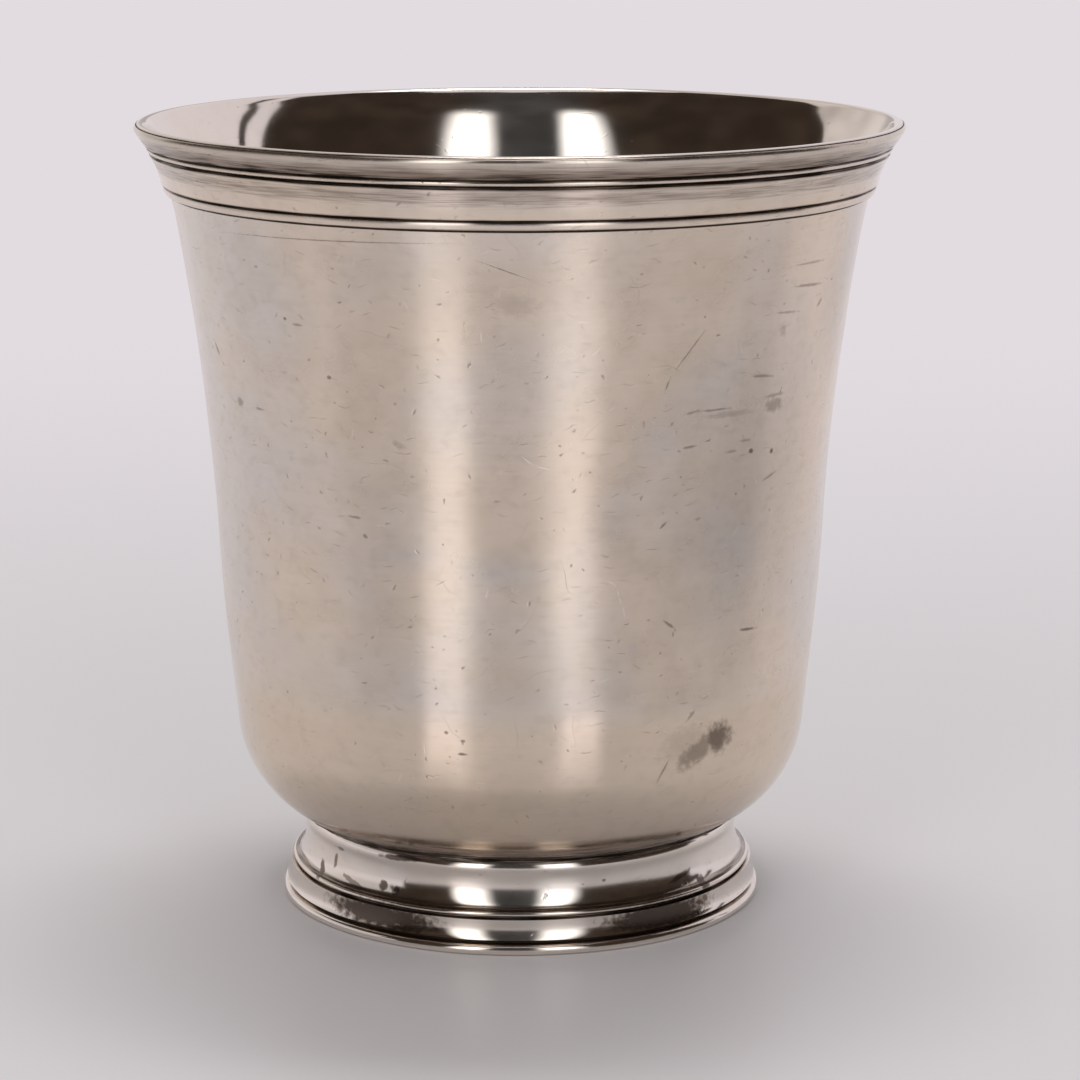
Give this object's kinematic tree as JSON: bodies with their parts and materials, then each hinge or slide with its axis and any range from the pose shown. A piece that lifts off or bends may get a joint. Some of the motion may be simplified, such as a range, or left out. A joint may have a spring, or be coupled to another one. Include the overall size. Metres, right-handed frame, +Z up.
{
  "type": "footed beaker",
  "caption": "Round silver drinking beaker with a bell-shaped bowl, a flared lip with a reeded moulding, and a low spool foot on a moulded base ring.",
  "frame": {"origin": "centre of the base ring's flat underside, on the table", "axes": "+Z up along the cup's axis; the cup is round, so X and Y are any two level directions, with -Y facing the viewer"},
  "size_m": [0.087, 0.087, 0.09],
  "materials": {
    "satin_silver": "satin silver, hand planished, with light patina and fine scratches; bright inside",
    "bright_silver": "polished silver, with dark oxide in its grooves",
    "solder": "dull hard solder, darkened"
  },
  "bodies": {
    "root": {"bowl": "satin_silver", "rim_moulding": "satin_silver", "rim_solder": "solder", "foot_spool": "bright_silver", "foot_solder": "solder", "base_moulding": "bright_silver", "base_solder": "solder"}
  },
  "joints": []
}
